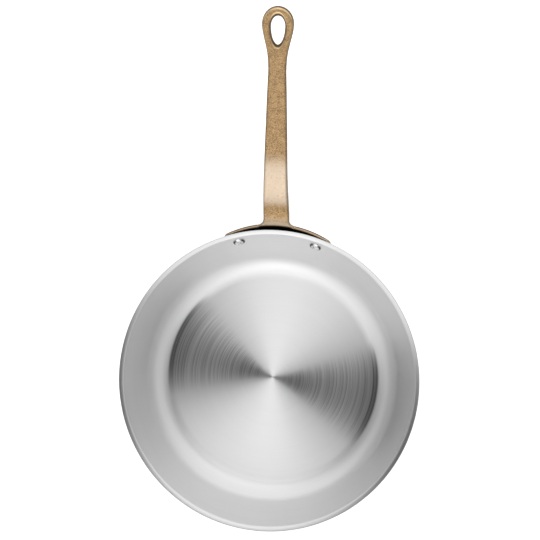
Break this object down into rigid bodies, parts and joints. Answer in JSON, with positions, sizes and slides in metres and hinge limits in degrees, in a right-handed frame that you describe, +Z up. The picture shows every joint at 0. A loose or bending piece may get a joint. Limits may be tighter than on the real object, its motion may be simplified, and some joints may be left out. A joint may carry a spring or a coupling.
{
  "type": "skillet",
  "caption": "Round flared steel skillet with a brushed flat base, turned-out pouring lip and a long cast bronze handle with a hanging eye, riveted through the wall.",
  "frame": {"origin": "middle of the pan's flat underside, on the pan's axis", "axes": "+Z up out of the bowl, +Y along the handle from the pan to the hanging eye, +X to the right seen from above with the handle pointing away"},
  "size_m": [0.28, 0.4781, 0.1113],
  "materials": {
    "cooking_steel": "circular brushing on the base, satin wall and lip",
    "core_aluminium": "rolled",
    "outer_steel": "satin",
    "bronze": "fine sand-cast, lightly tumbled",
    "rivet_steel": "polished"
  },
  "bodies": {
    "root": {"inner_steel_ply": "cooking_steel", "upper_aluminium_ply": "core_aluminium", "centre_aluminium_ply": "core_aluminium", "lower_aluminium_ply": "core_aluminium", "outer_steel_ply": "outer_steel", "handle": "bronze", "rivet_left": "rivet_steel", "rivet_right": "rivet_steel"}
  },
  "joints": []
}
